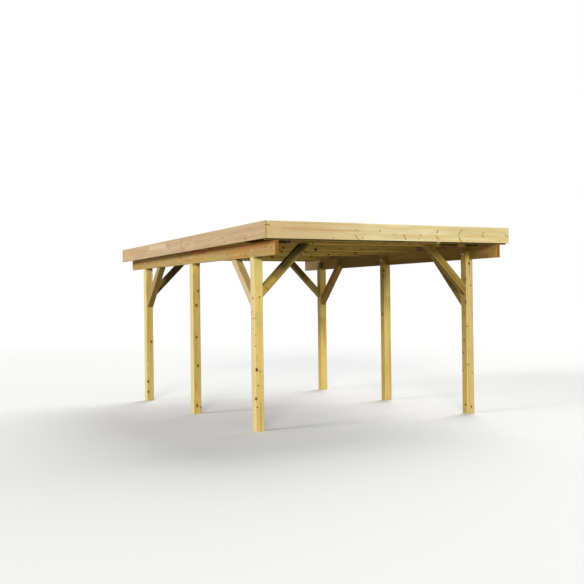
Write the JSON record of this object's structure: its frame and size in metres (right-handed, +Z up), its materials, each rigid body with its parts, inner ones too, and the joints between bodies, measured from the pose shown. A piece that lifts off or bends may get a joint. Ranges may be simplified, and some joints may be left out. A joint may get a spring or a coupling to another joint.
{
  "type": "timber carport",
  "caption": "Open timber carport: a flat roof with deep fascia boards over side beams, notched posts and diagonal knee braces, with profiled roof sheets.",
  "frame": {"origin": "on the floor under the middle of the roof outline", "axes": "+X to the right seen from the front, +Y from front to rear, +Z up; the open front faces -Y"},
  "size_m": [3.45, 5.25, 2.407],
  "materials": {
    "post_timber": "planed, pressure treated",
    "beam_timber": "planed, pressure treated",
    "brace_timber": "planed, pressure treated",
    "rafter_timber": "planed, pressure treated",
    "fascia_timber": "planed, pressure treated",
    "roof_sheet": "satin coating",
    "bolt_steel": "galvanised"
  },
  "bodies": {
    "root": {"beam_bolts_left": "bolt_steel", "beam_bolts_right": "bolt_steel", "cross_brace_front_left": "brace_timber", "cross_brace_front_right": "brace_timber", "cross_brace_rear_left": "brace_timber", "cross_brace_rear_right": "brace_timber", "fascia_front": "fascia_timber", "fascia_left_front": "fascia_timber", "fascia_left_rear": "fascia_timber", "fascia_rear": "fascia_timber", "fascia_right_front": "fascia_timber", "fascia_right_rear": "fascia_timber", "length_brace_front_left": "brace_timber", "length_brace_front_right": "brace_timber", "length_brace_rear_left": "brace_timber", "length_brace_rear_right": "brace_timber", "post_front_left": "post_timber", "post_front_right": "post_timber", "post_middle_left": "post_timber", "post_middle_right": "post_timber", "post_rear_left": "post_timber", "post_rear_right": "post_timber", "rafter_1": "rafter_timber", "rafter_2": "rafter_timber", "rafter_3": "rafter_timber", "rafter_4": "rafter_timber", "rafter_5": "rafter_timber", "rafter_6": "rafter_timber", "rafter_7": "rafter_timber", "roof_sheet_left": "roof_sheet", "roof_sheet_middle": "roof_sheet", "roof_sheet_right": "roof_sheet", "side_beam_left": "beam_timber", "side_beam_right": "beam_timber"}
  },
  "joints": []
}
